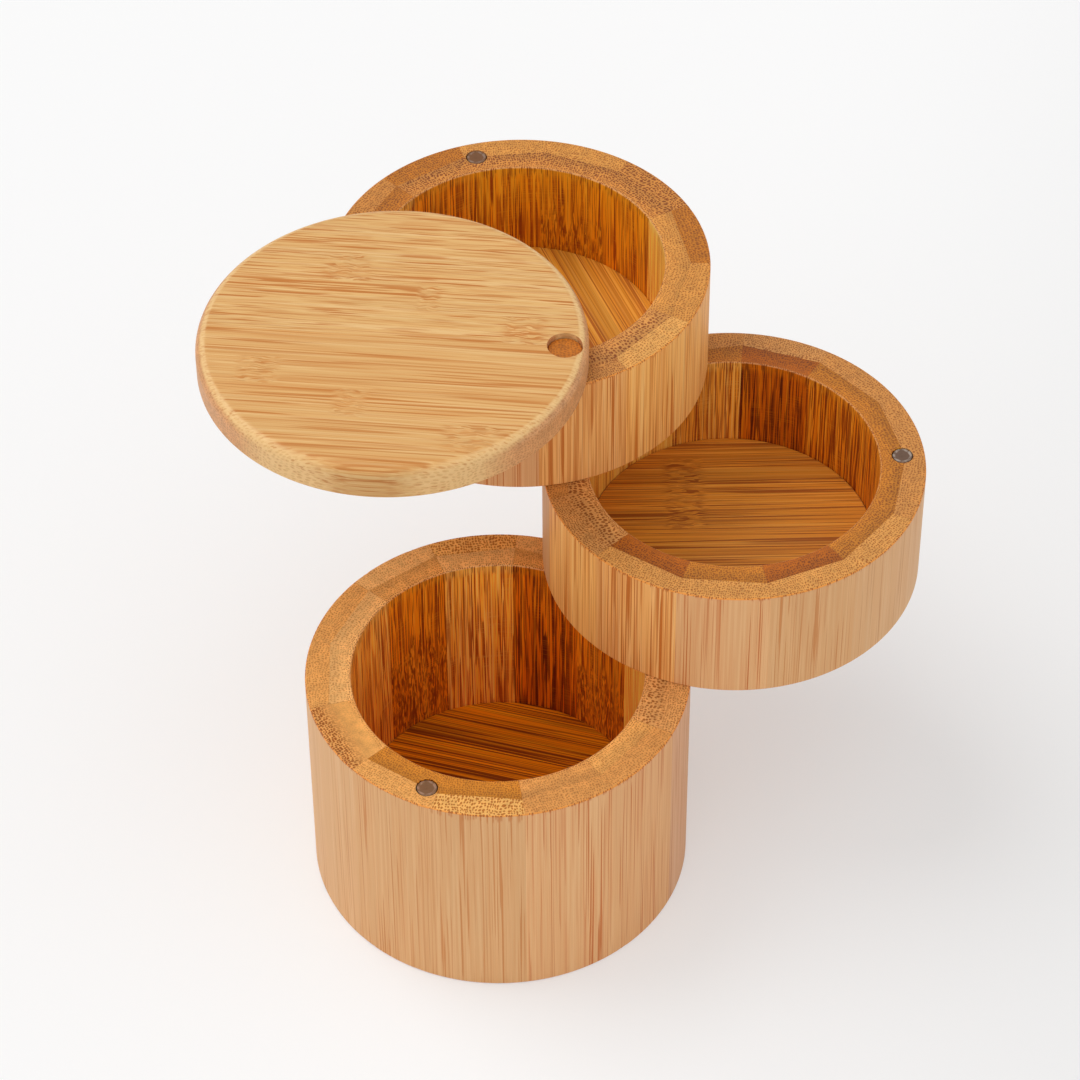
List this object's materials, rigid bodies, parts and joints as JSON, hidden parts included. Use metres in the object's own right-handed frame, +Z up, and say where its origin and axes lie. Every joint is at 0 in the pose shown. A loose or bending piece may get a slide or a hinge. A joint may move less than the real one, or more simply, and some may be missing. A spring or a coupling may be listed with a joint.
{
  "type": "three-tier salt cellar",
  "caption": "Round bamboo salt cellar: a deep bowl, two shallow bowls and a flat lid stacked on one upright dowel, each swinging open sideways over the one below.",
  "frame": {"origin": "centre of the base's underside, on the surface it stands on", "axes": "+Z up. -Y points from the base towards the viewer who sees it fanned out, +X to that viewer's right"},
  "size_m": [0.1671, 0.1626, 0.128],
  "materials": {
    "stave": "sanded and lightly oiled bamboo, fibres upright",
    "floor_board": "sanded bamboo board of narrow strips",
    "lid_board": "sanded and lightly oiled bamboo board of flat strips",
    "dowel": "bamboo end grain",
    "magnet": "nickel plated, satin"
  },
  "bodies": {
    "base": {"base_stave_01": "stave", "base_stave_02": "stave", "base_stave_03": "stave", "base_stave_04": "stave", "base_stave_05": "stave", "base_stave_06": "stave", "base_stave_07": "stave", "base_stave_08": "stave", "base_stave_09": "stave", "base_stave_10": "stave", "base_stave_11": "stave", "base_stave_12": "stave", "base_stave_13": "stave", "base_floor": "floor_board", "base_rim_magnet": "magnet", "pivot_dowel": "dowel"},
    "middle": {"middle_stave_01": "stave", "middle_stave_02": "stave", "middle_stave_03": "stave", "middle_stave_04": "stave", "middle_stave_05": "stave", "middle_stave_06": "stave", "middle_stave_07": "stave", "middle_stave_08": "stave", "middle_stave_09": "stave", "middle_stave_10": "stave", "middle_stave_11": "stave", "middle_stave_12": "stave", "middle_stave_13": "stave", "middle_floor": "floor_board", "middle_rim_magnet": "magnet", "middle_keeper_magnet": "magnet"},
    "top": {"top_stave_01": "stave", "top_stave_02": "stave", "top_stave_03": "stave", "top_stave_04": "stave", "top_stave_05": "stave", "top_stave_06": "stave", "top_stave_07": "stave", "top_stave_08": "stave", "top_stave_09": "stave", "top_stave_10": "stave", "top_stave_11": "stave", "top_stave_12": "stave", "top_stave_13": "stave", "top_floor": "floor_board", "top_rim_magnet": "magnet", "top_keeper_magnet": "magnet"},
    "lid": {"lid_strip_01": "lid_board", "lid_strip_02": "lid_board", "lid_strip_03": "lid_board", "lid_strip_04": "lid_board", "lid_strip_05": "lid_board", "lid_strip_06": "lid_board", "lid_strip_07": "lid_board", "lid_strip_08": "lid_board", "lid_strip_09": "lid_board", "lid_strip_10": "lid_board", "lid_keeper_magnet": "magnet"}
  },
  "joints": [
    {"name": "middle_swivel", "type": "hinge", "parent": "base", "child": "middle", "pos_m": [0.01641, 0.0356, 0.0595], "axis": [0, 0, 1], "continuous": true},
    {"name": "top_swivel", "type": "hinge", "parent": "middle", "child": "top", "pos_m": [0.01641, 0.0356, 0.08975], "axis": [0, 0, 1], "continuous": true},
    {"name": "lid_swivel", "type": "hinge", "parent": "top", "child": "lid", "pos_m": [0.01641, 0.0356, 0.12], "axis": [0, 0, 1], "continuous": true}
  ]
}
